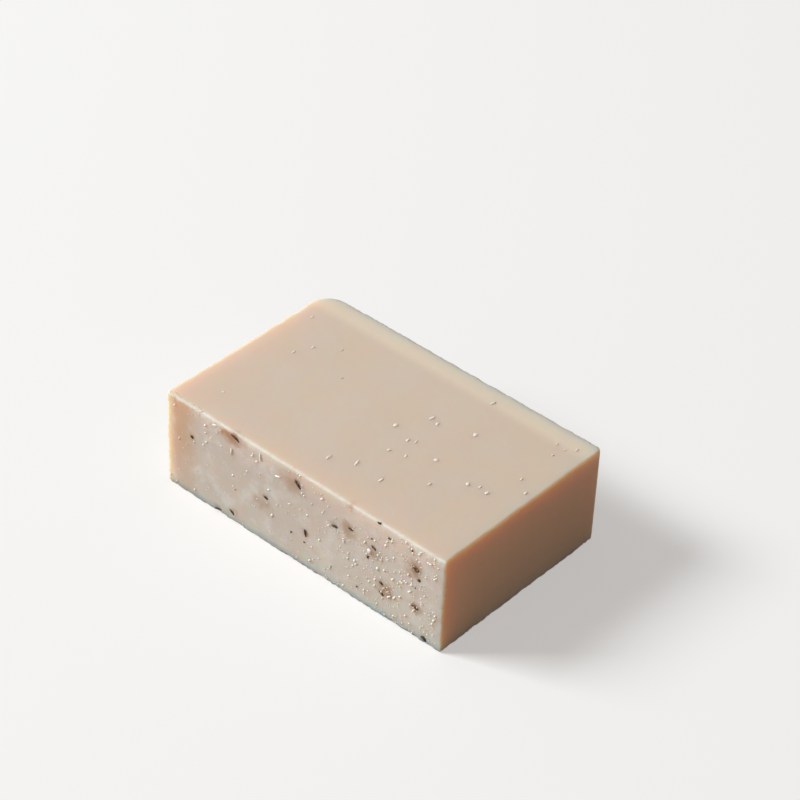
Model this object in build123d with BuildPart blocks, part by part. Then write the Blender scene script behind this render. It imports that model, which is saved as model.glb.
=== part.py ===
from build123d import *
import os

# A bar of cold-process soap, cut from a loaf. All lengths are in millimetres.
#
# The bar lies on one of its two largest faces. The origin is the middle of that
# face, +X runs along the bar, +Y points to the edge that was trimmed and +Z points
# up. The face at -Y is the last cut, made through the herbs, and its edges are crisp.

# the block
bar_length = 89.0
bar_width = 57.0
bar_height = 27.8

# the shallow strip planed off along the back of the top face
trim_width = 4.6
trim_drop = 0.35
trim_blend_radius = 60.0

# the edges that handling has rounded: two upright ones and two that the bar lies on
back_left_radius = 6.0
back_right_radius = 1.8
foot_back_radius = 2.4
foot_left_radius = 1.4

# every other edge is crisp, with only its corner broken
edge_break = 0.4

half_length = bar_length / 2
half_width = bar_width / 2
trim_start = half_width - trim_width
trim_foot = bar_height - trim_drop


with BuildPart() as soap_bar:
    # the outline from above, raised to the full height
    with BuildSketch(Plane.XY) as outline:
        Rectangle(bar_length, bar_width)
        corners = outline.vertices()
        chamfer(corners.group_by(Axis.Y)[0], length=edge_break)
        back_left = outline.vertices().sort_by_distance((-half_length, half_width))[0]
        fillet(back_left, radius=back_left_radius)
        back_right = outline.vertices().sort_by_distance((half_length, half_width))[0]
        fillet(back_right, radius=back_right_radius)
    extrude(amount=bar_height)

    # the view from the front, which gives the edges across the two ends
    with BuildSketch(Plane.XZ) as front_view:
        with Locations((0, bar_height / 2)):
            Rectangle(bar_length, bar_height)
        foot_left = front_view.vertices().sort_by_distance((-half_length, 0))[0]
        fillet(foot_left, radius=foot_left_radius)
        foot_right = front_view.vertices().sort_by_distance((half_length, 0))[0]
        top_ends = front_view.vertices().group_by(Axis.Y)[-1]
        chamfer([foot_right, *top_ends], length=edge_break)
    extrude(amount=bar_width, both=True, mode=Mode.INTERSECT)

    # the section across the bar, which gives the planed strip and the long edges
    with BuildSketch(Plane.YZ) as section:
        with BuildLine():
            Polyline(
                (-half_width, 0),
                (half_width, 0),
                (half_width, trim_foot),
                (trim_start, bar_height),
                (-half_width, bar_height),
                close=True,
            )
        make_face()
        strip_blend = section.vertices().sort_by_distance((trim_start, bar_height))[0]
        fillet(strip_blend, radius=trim_blend_radius)
        foot_back = section.vertices().sort_by_distance((half_width, 0))[0]
        fillet(foot_back, radius=foot_back_radius)
        front_edges = section.vertices().group_by(Axis.X)[0]
        top_back = section.vertices().sort_by_distance((half_width, trim_foot))[0]
        chamfer([top_back, *front_edges], length=edge_break)
    extrude(amount=bar_length, both=True, mode=Mode.INTERSECT)

soap_bar.part.label = "soap_bar"

os.makedirs("parts", exist_ok=True)
export_step(soap_bar.part, "parts/soap_bar.step")
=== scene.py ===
import math
import random

import bmesh
import bpy
from mathutils import Euler, Matrix, Vector, noise


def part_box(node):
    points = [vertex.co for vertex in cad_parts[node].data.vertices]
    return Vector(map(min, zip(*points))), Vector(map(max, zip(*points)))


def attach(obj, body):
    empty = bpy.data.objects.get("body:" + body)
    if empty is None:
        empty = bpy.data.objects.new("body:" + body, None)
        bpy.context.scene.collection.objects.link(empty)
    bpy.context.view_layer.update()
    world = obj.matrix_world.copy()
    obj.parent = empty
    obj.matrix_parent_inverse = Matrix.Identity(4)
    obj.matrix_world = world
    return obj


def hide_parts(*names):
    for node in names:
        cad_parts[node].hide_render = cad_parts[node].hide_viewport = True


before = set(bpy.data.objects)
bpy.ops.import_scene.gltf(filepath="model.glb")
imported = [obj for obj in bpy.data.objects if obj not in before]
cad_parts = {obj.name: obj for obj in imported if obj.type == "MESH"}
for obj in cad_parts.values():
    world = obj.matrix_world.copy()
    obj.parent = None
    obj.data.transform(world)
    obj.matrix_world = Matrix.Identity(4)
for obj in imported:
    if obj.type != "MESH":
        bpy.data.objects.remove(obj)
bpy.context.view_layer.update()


# ---- The bar -------------------------------------------------------------------
# One lump of cold-process soap, cut out of a cured loaf with a wide knife. The top is
# smooth from the mould, the long front side is the fresh cut through the herbs, and
# every edge has crumbled a little since.

MM = 0.001
bar_low, bar_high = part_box("soap_bar")
bar_size = bar_high - bar_low
bar_centre = (bar_low + bar_high) / 2
left, front, foot = bar_low
right, back, top = bar_high

# cells of the skin along the bar, across it and up it, drawn in towards its edges
skin_cells = (243, 86, 82)
edge_crowding = 0.3

# edges: (the two axes that the edge is square to, its corner, the ways in, its radius)
crisp = 0.4 * MM
long_edges = (
    ((1, 2), (back, foot), (-1, 1), 2.4 * MM),
    ((1, 2), (front, foot), (1, 1), crisp),
    ((1, 2), (front, top), (1, -1), crisp),
    ((1, 2), (back, top), (-1, -1), crisp),
)
end_edges = (
    ((0, 2), (left, foot), (1, 1), 1.4 * MM),
    ((0, 2), (right, foot), (-1, 1), crisp),
    ((0, 2), (left, top), (1, -1), crisp),
    ((0, 2), (right, top), (-1, -1), crisp),
)
upright_edges = (
    ((0, 1), (left, back), (1, -1), 6.0 * MM),
    ((0, 1), (right, back), (-1, -1), 1.8 * MM),
    ((0, 1), (left, front), (1, 1), crisp),
    ((0, 1), (right, front), (-1, 1), crisp),
)

# the strip planed off along the back of the top
strip_width = 4.6 * MM
strip_blend = 2.8 * MM
strip_drop = 0.35 * MM
strip_fade_depth = 6.0 * MM
strip_step_share = 0.25

# how deep the edges are bitten, how far in from the edge the bites reach, how long the
# small and the long bites are, and how far a burr may stand up between them
bite_depth = 0.18 * MM
bite_reach = 0.9 * MM
small_bite = 0.8 * MM
long_bite = 3.1 * MM
burr_limit = -0.45


def parallel_edges(mesh, axis):
    """The edges of a block that run along one axis."""
    found = []
    for edge in mesh.edges:
        run = edge.verts[1].co - edge.verts[0].co
        if abs(run[axis]) > 0.99 * run.length:
            found.append(edge)
    return found


def round_over(point, axes, corner, inward, radius):
    """Pulls a point near a square edge back onto an arc of that radius."""
    a, b = axes
    centre_a = corner[0] + inward[0] * radius
    centre_b = corner[1] + inward[1] * radius
    u = (centre_a - point[a]) * inward[0]
    v = (centre_b - point[b]) * inward[1]
    if u <= 0 or v <= 0:
        return
    pull = max(u, v) / math.hypot(u, v)
    point[a] = centre_a - inward[0] * u * pull
    point[b] = centre_b - inward[1] * v * pull


def ease(value, low, high):
    """0 below low, 1 above high, and an even ease between them."""
    t = min(max((value - low) / (high - low), 0.0), 1.0)
    return t * t * (3 - 2 * t)


def crumble(point, axes, corner, inward, radius):
    """Bites small crumbs out of an edge, and leaves a slight burr between them."""
    a, b = axes
    away = math.hypot(point[a] - corner[0], point[b] - corner[1])
    near = 1 - (away - 0.4 * radius) / bite_reach
    if near <= 0:
        return
    bite = noise.noise(point / small_bite) + 0.8 * noise.noise(point / long_bite)
    depth = bite_depth * min(near, 1) * max(bite, burr_limit)
    point[a] += inward[0] * depth
    point[b] += inward[1] * depth


bar_mesh = bmesh.new()
bmesh.ops.create_cube(bar_mesh, size=1.0)
bmesh.ops.scale(bar_mesh, vec=bar_size, verts=bar_mesh.verts)
bmesh.ops.translate(bar_mesh, vec=bar_centre, verts=bar_mesh.verts)
for axis, cells in enumerate(skin_cells):
    bmesh.ops.subdivide_edges(
        bar_mesh,
        edges=parallel_edges(bar_mesh, axis),
        cuts=cells - 1,
        use_grid_fill=True,
    )

for vertex in bar_mesh.verts:
    p = vertex.co
    for axis in range(3):
        half = bar_size[axis] / 2
        share = (p[axis] - bar_centre[axis]) / half
        share += edge_crowding * math.sin(math.pi * share) / math.pi
        p[axis] = bar_centre[axis] + share * half
    for edge in long_edges + end_edges + upright_edges:
        round_over(p, *edge)
    near_top = ease(p.z, top - strip_fade_depth, top)
    into_strip = ease(p.y, back - strip_width - strip_blend, back - strip_width)
    to_edge = max(0, (p.y - (back - strip_width)) / strip_width)
    fall = strip_step_share * into_strip + (1 - strip_step_share) * to_edge
    p.z -= strip_drop * near_top * fall

# the herbs on the cut side: (from the left end, up from the foot, length, breadth, lean)
# in millimetres and degrees
herb_leaves = (
    (22.9, 26.3, 2.6, 0.8, -32),
    (43.3, 23.9, 2.5, 0.9, -47),
    (55.3, 18.3, 2.0, 0.9, 3),
    (60.2, 20.4, 1.4, 0.5, -10),
    (68.9, 27.5, 1.1, 0.6, -8),
    (67.6, 19.1, 1.4, 0.4, -28),
    (46.0, 10.5, 2.2, 0.6, -79),
    (70.3, 9.8, 1.4, 0.5, -38),
    (70.5, 6.8, 1.5, 0.5, -34),
    (80.7, 20.4, 1.6, 1.3, -13),
    (81.6, 17.8, 1.0, 0.8, -12),
    (80.8, 9.0, 1.6, 0.9, -15),
    (79.0, 25.4, 0.9, 0.45, -20),
    (83.9, 1.2, 1.7, 1.0, -38),
    (8.4, 18.3, 1.1, 0.6, -35),
    (33.1, 13.8, 1.6, 0.45, -20),
    (21.9, 2.5, 1.7, 0.45, -44),
    (17.2, 0.9, 2.0, 0.5, 1),
)
# the same for broken bits: (from the left end, up from the foot, size)
herb_bits = (
    (72.2, 24.9, 0.75),
    (66.9, 21.6, 0.5),
    (65.9, 15.5, 0.9),
    (45.8, 7.6, 0.5),
    (41.5, 8.2, 0.55),
    (54.6, 5.3, 0.35),
    (62.9, 4.2, 0.65),
    (80.7, 15.0, 0.4),
    (23.0, 10.4, 0.35),
    (69.4, 27.9, 0.4),
)
# where the herbs have bled into the soap: (from the left end, up, half width, half
# height, strength)
herb_stains = (
    (21.6, 25.8, 4.4, 2.3, 0.85),
    (41.6, 23.4, 3.8, 3.4, 0.55),
    (31.6, 11.6, 3.8, 2.6, 0.50),
    (59.6, 19.6, 2.6, 3.0, 0.65),
    (80.2, 20.2, 2.7, 3.0, 0.85),
    (71.8, 8.6, 2.6, 2.6, 0.75),
    (81.2, 9.0, 2.2, 1.8, 0.60),
    (67.8, 17.6, 1.9, 2.2, 0.60),
    (59.9, 27.0, 1.3, 1.1, 0.50),
    (8.6, 18.4, 1.2, 1.3, 0.30),
    (23.0, 3.0, 1.5, 1.5, 0.30),
    (46.2, 10.0, 1.2, 2.0, 0.25),
)


def on_cut_side(along, up, proud=0.0):
    """A point on the front side, from its place in millimetres."""
    return Vector((left + along * MM, front - proud * MM, foot + up * MM))


# unevenness of the faces: (height, width of a swelling), in millimetres, over the whole
# bar and then on the cut side only, where each herb lies in a hollow as well
bar_swells = ((0.07, 17), (0.012, 3.5))
cut_swells = ((0.05, 5), (0.045, 1.1))
herb_hollow = 0.22

for vertex in bar_mesh.verts:
    p = vertex.co
    swell = sum(height * noise.noise(p / (width * MM)) for height, width in bar_swells)
    cut = ease(front + 0.5 * MM - p.y, 0, 0.4 * MM)
    if cut > 0:
        for height, width in cut_swells:
            swell += height * cut * noise.noise(p / (width * MM))
        for along, up, length, breadth, lean in herb_leaves:
            spot = on_cut_side(along, up)
            if (p - spot).length < length * MM:
                near = (p - spot).length / (0.75 * length * MM)
                swell -= herb_hollow * cut * (1 - ease(near, 0.2, 1))
    vertex.co = p + vertex.normal * swell * MM
    for edge in long_edges + end_edges + upright_edges:
        if edge[-1] == crisp:
            crumble(vertex.co, *edge)
    vertex.co.z = max(vertex.co.z, foot)

bmesh.ops.recalc_face_normals(bar_mesh, faces=bar_mesh.faces)
for face in bar_mesh.faces:
    face.smooth = True
bar_data = bpy.data.meshes.new("soap_block")
bar_mesh.to_mesh(bar_data)
bar_mesh.free()
bar = bpy.data.objects.new("soap_block", bar_data)
bpy.context.scene.collection.objects.link(bar)

# how much herb stain each point of the skin holds, with a wandering outline
stain = bar_data.attributes.new("stain", "FLOAT", "POINT")
for vertex in bar_data.vertices:
    p = vertex.co
    depth = 0.0
    if p.y < front + 1.5 * MM or p.z > top - 0.6 * MM:
        wander = 0.35 * noise.noise(p / (1.6 * MM)) + 0.2 * noise.noise(p / (0.6 * MM))
        for along, up, half_width, half_height, strength in herb_stains:
            spot = on_cut_side(along, up)
            offset = p - spot
            away = Vector((offset.x / half_width, offset.y / 2, offset.z / half_height))
            depth = max(depth, strength * (1 - ease(away.length / MM + wander, 0.2, 1.3)))
    stain.data[vertex.index].value = depth


def add_node(tree, kind, inputs, **settings):
    """A shader node with its settings, and its inputs set or linked."""
    node = tree.nodes.new(kind)
    for name, value in settings.items():
        setattr(node, name, value)
    for key, value in inputs.items():
        if isinstance(value, bpy.types.NodeSocket):
            tree.links.new(value, node.inputs[key])
        else:
            node.inputs[key].default_value = value
    return node


def calculate(tree, operation, *values):
    """One sum on numbers or sockets."""
    return add_node(tree, "ShaderNodeMath", dict(enumerate(values)), operation=operation).outputs[0]


def times(tree, *shares):
    """Several shares multiplied together."""
    product = shares[0]
    for share in shares[1:]:
        product = calculate(tree, "MULTIPLY", product, share)
    return product


def fade(tree, value, low, high):
    """0 at low, 1 at high, eased between."""
    inputs = {0: value, 1: low, 2: high, 3: 0.0, 4: 1.0}
    return add_node(tree, "ShaderNodeMapRange", inputs, interpolation_type="SMOOTHSTEP").outputs[0]


def mix(tree, share, under, over):
    """The colour over laid on the colour under."""
    inputs = {0: share, 6: under, 7: over}
    return add_node(tree, "ShaderNodeMix", inputs, data_type="RGBA").outputs[2]


def grain(tree, place, scale, detail=2.0, rough=0.5):
    """Soft noise, with scale in waves to the millimetre."""
    inputs = {"Vector": place, "Scale": scale, "Detail": detail, "Roughness": rough}
    return add_node(tree, "ShaderNodeTexNoise", inputs).outputs[0]


def colour(red, green, blue):
    return (red, green, blue, 1)


def millimetres(tree):
    """The place on the piece, in millimetres."""
    place = add_node(tree, "ShaderNodeTexCoord", {}).outputs["Object"]
    inputs = {"Vector": place, "Scale": (1 / MM, 1 / MM, 1 / MM)}
    return add_node(tree, "ShaderNodeMapping", inputs).outputs[0]


soap = bpy.data.materials.new("soap")
soap.use_nodes = True
tree = soap.node_tree
shader = tree.nodes["Principled BSDF"]
place = millimetres(tree)
parts = add_node(tree, "ShaderNodeSeparateXYZ", {0: place})
x, y, z = parts.outputs

# poured faces: cream, drifting between pink and straw
drift = fade(tree, grain(tree, place, 0.07, 1.0), 0.35, 0.65)
body = mix(tree, drift, colour(0.69, 0.565, 0.453), colour(0.685, 0.573, 0.48))
mottle = fade(tree, grain(tree, place, 0.35, 3.0), 0.3, 0.7)
body = mix(tree, times(tree, mottle, 0.4), body, colour(0.67, 0.572, 0.475))

# the planed strip along the back of the top, painted paler as a highlight where it tilts to the light
strip_start = (back - strip_width - strip_blend) / MM
strip_highlight_share = fade(tree, y, strip_start - 1.0, strip_start + 3.0)
top_share = fade(tree, z, top / MM - 1.2, top / MM - 0.6)
body = mix(tree, times(tree, strip_highlight_share, top_share, 0.8), body, colour(0.805, 0.685, 0.555))

# the right end, warmer: partly a tan from the air, partly painted warm light bounced up from below
end_share = fade(tree, x, right / MM - 0.8, right / MM - 0.2)
streak_place = add_node(tree, "ShaderNodeMapping", {"Vector": place, "Scale": (0.5, 0.5, 0.05)})
streak = fade(tree, grain(tree, streak_place.outputs[0], 1.0, 3.0), 0.35, 0.65)
end_tan_and_warm_bounce = mix(tree, streak, colour(0.735, 0.49, 0.315), colour(0.74, 0.50, 0.325))
body = mix(tree, end_share, body, end_tan_and_warm_bounce)

# the cut side: paler and greyer, with milky clouds where the knife left it chalky
cut_share = fade(tree, y, front / MM + 0.5, front / MM + 0.1)
cloud = fade(tree, grain(tree, place, 0.2, 4.0, 0.6), 0.45, 0.68)
cut = mix(tree, times(tree, cloud, 0.85), colour(0.65, 0.60, 0.55), colour(0.75, 0.735, 0.715))
rosy = fade(tree, grain(tree, place, 0.11, 2.0), 0.48, 0.62)
cut = mix(tree, times(tree, rosy, 0.35), cut, colour(0.69, 0.58, 0.50))
# painted warm light towards the foot, making up for the red glow the soap loses there
foot_part = fade(tree, z, 6.0, 0.0)
cut = mix(tree, times(tree, foot_part, 0.6), cut, colour(0.80, 0.63, 0.54))
right_part = fade(tree, x, -15.0, 35.0)
cut = mix(tree, times(tree, right_part, 0.5), cut, colour(0.79, 0.72, 0.66))
fleck = add_node(tree, "ShaderNodeTexVoronoi", {"Vector": place, "Scale": 1.1, "Randomness": 1.0})
dust = fade(tree, fleck.outputs["Distance"], 0.2, 0.1)
dusty = fade(tree, grain(tree, place, 0.15, 2.0), 0.45, 0.6)
cut = mix(tree, times(tree, dust, dusty, 0.8), cut, colour(0.84, 0.79, 0.73))

# the warmer rind near the left end of the cut side
rind_wander = calculate(tree, "SUBTRACT", grain(tree, place, 0.3, 2.0), 0.5)
rind_place = calculate(tree, "MULTIPLY_ADD", rind_wander, 5.0, x)
rind_in = fade(tree, rind_place, left / MM + 0.5, left / MM + 3.5)
rind_out = fade(tree, rind_place, left / MM + 12.0, left / MM + 5.5)
rind_high = add_node(tree, "ShaderNodeMapRange", {0: z, 1: 6.0, 2: 17.0, 3: 0.5, 4: 1.0}).outputs[0]
cut = mix(tree, times(tree, rind_in, rind_out, rind_high), cut, colour(0.63, 0.475, 0.335))
lip = fade(tree, x, left / MM + 3.0, left / MM + 1.0)
cut = mix(tree, lip, cut, colour(0.69, 0.60, 0.46))
body = mix(tree, cut_share, body, cut)

# herb stains
stain_share = add_node(tree, "ShaderNodeAttribute", {}, attribute_name="stain").outputs["Fac"]
body = mix(tree, stain_share, body, colour(0.43, 0.24, 0.11))

# chalky broken edges, in patches, paler also as a painted highlight where the broken edges catch light
edge_y = calculate(tree, "SUBTRACT", y, front / MM)
edge_z = calculate(tree, "SUBTRACT", top / MM, z)
edge_x = calculate(tree, "SUBTRACT", right / MM, x)
square_y = calculate(tree, "MULTIPLY", edge_y, edge_y)
to_top = calculate(tree, "SQRT", calculate(tree, "MULTIPLY_ADD", edge_z, edge_z, square_y))
to_side = calculate(tree, "SQRT", calculate(tree, "MULTIPLY_ADD", edge_x, edge_x, square_y))
reach = calculate(tree, "MINIMUM", to_top, to_side)
ragged = calculate(tree, "SUBTRACT", grain(tree, place, 0.9, 3.0, 0.7), 0.5)
reach = calculate(tree, "MULTIPLY_ADD", ragged, 2.2, reach)
patch = fade(tree, grain(tree, place, 0.16, 1.0), 0.35, 0.6)
chalk_and_edge_highlight = times(tree, fade(tree, reach, 0.95, 0.3), calculate(tree, "MULTIPLY_ADD", patch, 0.5, 0.2))
body = mix(tree, chalk_and_edge_highlight, body, colour(0.76, 0.72, 0.67))

tree.links.new(body, shader.inputs["Base Color"])
rough = add_node(tree, "ShaderNodeMapRange", {0: cut_share, 3: 0.46, 4: 0.6}).outputs[0]
tree.links.new(rough, shader.inputs["Roughness"])
relief_share = calculate(tree, "ADD", 0.12, cut_share)
relief = calculate(tree, "MULTIPLY", grain(tree, place, 2.2, 4.0, 0.6), relief_share)
bump = add_node(tree, "ShaderNodeBump", {"Height": relief, "Strength": 0.35, "Distance": 0.12 * MM})
tree.links.new(bump.outputs[0], shader.inputs["Normal"])
shader.inputs["Subsurface Weight"].default_value = 1.0
shader.inputs["Subsurface Radius"].default_value = (1.0, 0.5, 0.3)
shader.inputs["Subsurface Scale"].default_value = 11.0 * MM
shader.inputs["Specular IOR Level"].default_value = 0.3
shader.inputs["IOR"].default_value = 1.45
bar_data.materials.append(soap)

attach(bar, "root")
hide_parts("soap_bar")


# ---- The herbs -----------------------------------------------------------------
# Crushed dried leaves and stems, stirred into the soap before it set. The knife went
# through them, so each lies flush in the cut side in a small hollow of its own.


def add_lump(mesh, where, size, turn, rough, seed, detail):
    """A broken crumb: a small ball, squashed, turned and knocked out of shape."""
    made = bmesh.ops.create_icosphere(mesh, subdivisions=detail, radius=1.0)
    shift = Vector((seed * 1.7, seed * 0.9, seed * 2.3))
    for vertex in made["verts"]:
        p = vertex.co
        p *= 1 + rough * (noise.noise(p * 1.1 + shift) + 0.6 * noise.noise(p * 2.7 - shift))
        vertex.co = Vector((p.x * size[0], p.y * size[1], p.z * size[2])) / 2
    bmesh.ops.rotate(mesh, verts=made["verts"], cent=(0, 0, 0), matrix=turn.to_matrix())
    bmesh.ops.translate(mesh, verts=made["verts"], vec=where)


def finish_piece(name, mesh, finish):
    """Makes a mesh a piece that rides on the bar."""
    bmesh.ops.recalc_face_normals(mesh, faces=mesh.faces)
    for face in mesh.faces:
        face.smooth = True
    data = bpy.data.meshes.new(name)
    mesh.to_mesh(data)
    mesh.free()
    data.materials.append(finish)
    piece = bpy.data.objects.new(name, data)
    bpy.context.scene.collection.objects.link(piece)
    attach(piece, "root")


herb_thickness = 0.35 * MM
herb_mesh = bmesh.new()
for number, (along, up, length, breadth, lean) in enumerate(herb_leaves):
    size = (length * MM, herb_thickness, breadth * MM)
    turn = Euler((0.2, math.radians(-lean), 0.1), "XYZ")
    add_lump(herb_mesh, on_cut_side(along, up, -0.02), size, turn, 0.55, number + 1, 3)
for number, (along, up, width) in enumerate(herb_bits):
    size = (width * MM, herb_thickness, 0.85 * width * MM)
    turn = Euler((0.2, number * 1.1, 0.1), "XYZ")
    add_lump(herb_mesh, on_cut_side(along, up, 0.02), size, turn, 0.5, number + 40, 3)

herb = bpy.data.materials.new("dried_herb")
herb.use_nodes = True
tree = herb.node_tree
shader = tree.nodes["Principled BSDF"]
place = millimetres(tree)
green = fade(tree, grain(tree, place, 0.25, 1.0), 0.52, 0.62)
leaf = mix(tree, green, colour(0.030, 0.019, 0.010), colour(0.048, 0.050, 0.022))
pale = fade(tree, grain(tree, place, 1.8, 3.0, 0.6), 0.56, 0.66)
leaf = mix(tree, pale, leaf, colour(0.42, 0.30, 0.15))
tree.links.new(leaf, shader.inputs["Base Color"])
shader.inputs["Roughness"].default_value = 0.7
finish_piece("herbs", herb_mesh, herb)


# ---- The grains ----------------------------------------------------------------
# Hard pale grains of sea salt and unmelted soap in the cut side, thickest towards the
# right. They stand out where the knife tore round them.

# those large enough to place: (from the left end, up from the foot, length, breadth, lean)
large_grains = (
    (16.2, 26.5, 1.5, 0.45, 13),
    (21.7, 21.4, 1.9, 0.75, -87),
    (31.2, 25.3, 2.2, 0.7, -76),
    (36.9, 22.7, 1.8, 0.45, 13),
    (66.2, 17.3, 1.5, 1.3, 32),
    (28.5, 24.1, 0.7, 0.6, 0),
    (30.0, 23.2, 0.65, 0.5, 0),
    (34.1, 16.9, 0.7, 0.6, 0),
    (18.4, 21.3, 0.5, 0.5, 0),
    (12.2, 18.2, 0.7, 0.5, 30),
    (14.8, 21.6, 0.55, 0.5, 0),
    (13.0, 22.3, 0.5, 0.4, 0),
    (16.9, 24.6, 0.45, 0.4, 0),
    (4.1, 15.6, 0.5, 0.8, 0),
    (2.5, 25.0, 0.9, 0.4, 47),
)
loose_grains = 620
# three quarters of the loose grains gather towards the right, thinning over this far
gather_share = 0.75
gather_spread = 22.5
dice = random.Random(11)
grain_mesh = bmesh.new()
for number, (along, up, length, breadth, lean) in enumerate(large_grains):
    turn = Euler((0, math.radians(-lean), 0), "XYZ")
    size = (length * MM, 0.5 * MM, breadth * MM)
    add_lump(grain_mesh, on_cut_side(along, up, 0.02), size, turn, 0.35, number + 80, 3)
for number in range(loose_grains):
    if dice.random() < gather_share:
        along = 87.5 - abs(dice.gauss(0, gather_spread))
    else:
        along = dice.uniform(1, 88)
    along = min(max(along, 1.0), 88.0)
    up = dice.uniform(0.6, 27.2)
    width = min(0.18 + 0.19 * dice.expovariate(1.0), 0.85)
    size = (width * dice.uniform(0.8, 1.5) * MM, width * 0.8 * MM, width * MM)
    turn = Euler((dice.uniform(0, 3), dice.uniform(0, 3), dice.uniform(0, 3)), "XYZ")
    add_lump(grain_mesh, on_cut_side(along, up, 0.03), size, turn, 0.4, number + 120, 1)

salt = bpy.data.materials.new("salt_grain")
salt.use_nodes = True
tree = salt.node_tree
shader = tree.nodes["Principled BSDF"]
place = millimetres(tree)
shade = fade(tree, grain(tree, place, 0.8, 2.0), 0.35, 0.65)
salt_colour = mix(tree, shade, colour(0.90, 0.84, 0.72), colour(0.93, 0.90, 0.86))
tree.links.new(salt_colour, shader.inputs["Base Color"])
shader.inputs["Roughness"].default_value = 0.35
finish_piece("grains", grain_mesh, salt)


# ---- The flakes ----------------------------------------------------------------
# Slivers of soap that stuck to the top while it was soft. Most lie across the bar.

# (from the left end, from the middle towards the back, length, breadth)
top_flakes = (
    (50.9, -16.4, 2.3, 0.55),
    (44.7, -19.4, 1.9, 0.6),
    (59.1, -17.1, 1.6, 0.6),
    (53.1, -7.6, 1.2, 0.6),
    (48.0, 0.5, 1.4, 0.7),
    (53.8, -1.7, 1.3, 0.6),
    (55.7, -0.9, 1.2, 0.5),
    (57.4, -6.5, 1.1, 0.5),
    (63.5, -2.6, 1.3, 0.8),
    (52.4, 8.5, 1.6, 0.6),
    (54.8, 7.7, 1.3, 0.6),
    (64.0, 10.9, 1.6, 0.9),
    (59.1, 23.2, 1.6, 0.5),
    (68.2, -10.2, 1.2, 0.5),
    (74.6, -4.0, 1.1, 0.7),
    (77.3, -2.8, 1.0, 0.5),
    (79.8, -3.3, 1.2, 0.7),
    (82.4, 6.2, 1.1, 0.5),
    (86.3, 3.0, 1.2, 0.5),
    (80.1, 22.0, 0.9, 0.4),
    (82.9, 21.6, 0.8, 0.4),
    (84.9, 23.6, 0.9, 0.4),
    (82.0, 18.1, 0.8, 0.4),
    (11.1, 4.1, 1.2, 0.4),
    (13.1, 8.9, 1.3, 0.5),
    (19.0, 13.0, 1.0, 0.4),
    (9.8, -19.3, 0.7, 0.5),
    (26.5, 4.8, 0.8, 0.3),
    (4.5, 17.7, 1.4, 0.4),
)
flake_mesh = bmesh.new()
for number, (along, across, length, breadth) in enumerate(top_flakes):
    where = Vector((left + along * MM, across * MM, top))
    turn = Euler((0, 0, math.radians(90 + dice.uniform(-14, 14))), "XYZ")
    add_lump(flake_mesh, where, (length * MM, 1.3 * breadth * MM, 0.32 * MM), turn, 0.35, number + 600, 3)

shaving = bpy.data.materials.new("soap_shaving")
shaving.use_nodes = True
tree = shaving.node_tree
shader = tree.nodes["Principled BSDF"]
place = millimetres(tree)
# paler than the bar they came from: painted light, making up for their shaded sides and missing glow
shade = fade(tree, grain(tree, place, 0.6, 2.0), 0.35, 0.65)
shaving_colour = mix(tree, shade, colour(0.84, 0.74, 0.64), colour(0.90, 0.82, 0.74))
tree.links.new(shaving_colour, shader.inputs["Base Color"])
shader.inputs["Roughness"].default_value = 0.5
finish_piece("flakes", flake_mesh, shaving)


# ---- The crumbs ----------------------------------------------------------------
# Crumbs of soap that the knife pushed up along the cut edges, and that still cling
# there. They are thickest at the front left corner and along the back of the top.

crumb_mesh = bmesh.new()


def add_crumb(where, seed):
    """One small crumb, sunk halfway into an edge."""
    width = dice.uniform(0.15, 0.38) * MM
    size = (width * dice.uniform(1, 1.8), width, width * 0.8)
    turn = Euler((dice.uniform(0, 3), dice.uniform(0, 3), dice.uniform(0, 3)), "XYZ")
    add_lump(crumb_mesh, where, size, turn, 0.35, seed, 1)


for number in range(60):
    along = left + min(abs(dice.gauss(0, 6.5)), 18) * MM + 0.4 * MM
    into = dice.uniform(0.25, 1.3) * MM
    if number % 3:
        add_crumb(Vector((along, front + into, top - 0.02 * MM)), number + 700)
    else:
        add_crumb(Vector((along, front + 0.02 * MM, top - into)), number + 700)
for number in range(70):
    along = left + dice.uniform(10, 88.5) * MM
    add_crumb(Vector((along, front + 0.2 * MM, top - dice.uniform(0.1, 0.5) * MM)), number + 800)
for number in range(70):
    along = left + dice.uniform(6, 87.5) * MM
    height = top - strip_drop - dice.uniform(0.0, 0.3) * MM
    add_crumb(Vector((along, back - 0.25 * MM, height)), number + 900)
for number in range(40):
    up = foot + dice.uniform(0.5, 27.2) * MM
    add_crumb(Vector((right - 0.2 * MM, front + 0.2 * MM, up)), number + 1000)
# the crumbs share the shavings' paler colour, with its painted light
finish_piece("crumbs", crumb_mesh, shaving)


# ---- The table and the light ---------------------------------------------------
# A pale table top in a plain studio, with one large softbox at the front left and a
# little warm light from the room.

table_mesh = bmesh.new()
bmesh.ops.create_grid(table_mesh, x_segments=1, y_segments=1, size=3.0)
bmesh.ops.translate(table_mesh, verts=table_mesh.verts, vec=(0, 0, foot))
table_data = bpy.data.meshes.new("table")
table_mesh.to_mesh(table_data)
table_mesh.free()
table = bpy.data.objects.new("table", table_data)
bpy.context.scene.collection.objects.link(table)


def seen_directly(tree):
    """1 where the camera, a reflection or a clear piece looks at the surface."""
    path = tree.nodes.new("ShaderNodeLightPath")
    mirrored = calculate(tree, "MAXIMUM", path.outputs["Is Glossy Ray"], path.outputs["Is Transmission Ray"])
    return calculate(tree, "MAXIMUM", path.outputs["Is Camera Ray"], mirrored)


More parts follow.
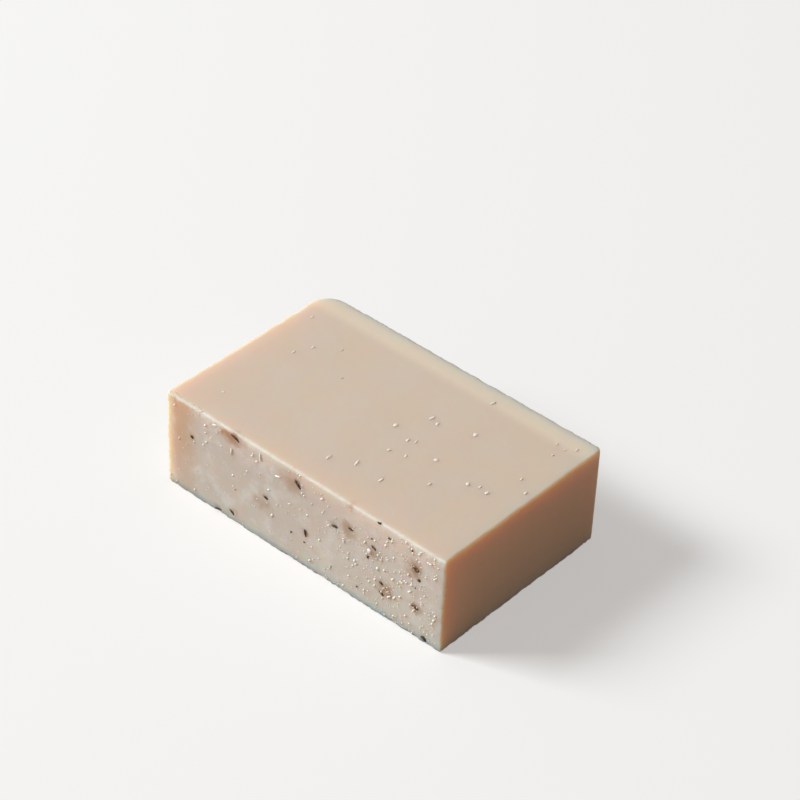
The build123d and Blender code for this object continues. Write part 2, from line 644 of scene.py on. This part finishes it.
table_finish = bpy.data.materials.new("table_top")
table_finish.use_nodes = True
tree = table_finish.node_tree
tree.nodes.clear()
warm_bounce = add_node(tree, "ShaderNodeBsdfDiffuse", {"Color": colour(0.42, 0.30, 0.20)})
paint = add_node(tree, "ShaderNodeBsdfDiffuse", {"Color": colour(0.88, 0.88, 0.88)})
glow = add_node(tree, "ShaderNodeEmission", {"Color": colour(1, 1, 1), "Strength": 1.0})
pale = add_node(tree, "ShaderNodeMixShader", {0: 0.42, 1: paint.outputs[0], 2: glow.outputs[0]})
inputs = {0: seen_directly(tree), 1: warm_bounce.outputs[0], 2: pale.outputs[0]}
table_top = add_node(tree, "ShaderNodeMixShader", inputs)
add_node(tree, "ShaderNodeOutputMaterial", {0: table_top.outputs[0]})
table_data.materials.append(table_finish)

softbox_place = Vector((-2.1, -1.35, 1.95))
softbox = bpy.data.lights.new("softbox", "AREA")
softbox.shape = "SQUARE"
softbox.size = 1.2
softbox.energy = 120
softbox.color = (0.97, 1.0, 1.0)
lamp = bpy.data.objects.new("softbox", softbox)
bpy.context.scene.collection.objects.link(lamp)
lamp.location = softbox_place
lamp.rotation_euler = (bar_centre - softbox_place).to_track_quat("-Z", "Y").to_euler()

room = bpy.data.worlds.new("room")
room.use_nodes = True
tree = room.node_tree
tree.nodes.clear()
room_light = add_node(tree, "ShaderNodeBackground", {0: colour(1.0, 0.85, 0.72), 1: 0.22})
backdrop = add_node(tree, "ShaderNodeBackground", {0: colour(0.93, 0.93, 0.93), 1: 1.0})
inputs = {0: seen_directly(tree), 1: room_light.outputs[0], 2: backdrop.outputs[0]}
room_mix = add_node(tree, "ShaderNodeMixShader", inputs)
add_node(tree, "ShaderNodeOutputWorld", {0: room_mix.outputs[0]})
bpy.context.scene.world = room


# ---- The camera ----------------------------------------------------------------
# It looks down on the front right corner, tilted a little. Its distance, and how far it
# stands to the side and up, are measured along its own axes.

camera_round = math.radians(40.13)
camera_height = math.radians(38.47)
camera_tilt = math.radians(2.73)
camera_place = (0.00495, 0.02639, 0.7154)
camera_data = bpy.data.cameras.new("camera")
camera_data.lens = 131.6
camera = bpy.data.objects.new("camera", camera_data)
bpy.context.scene.collection.objects.link(camera)
turn = (
    Matrix.Rotation(camera_round, 4, "Z")
    @ Matrix.Rotation(math.radians(90) - camera_height, 4, "X")
    @ Matrix.Rotation(camera_tilt, 4, "Z")
)
camera.matrix_world = turn @ Matrix.Translation(camera_place)
bpy.context.scene.camera = camera
bpy.context.scene.view_settings.view_transform = "Standard"
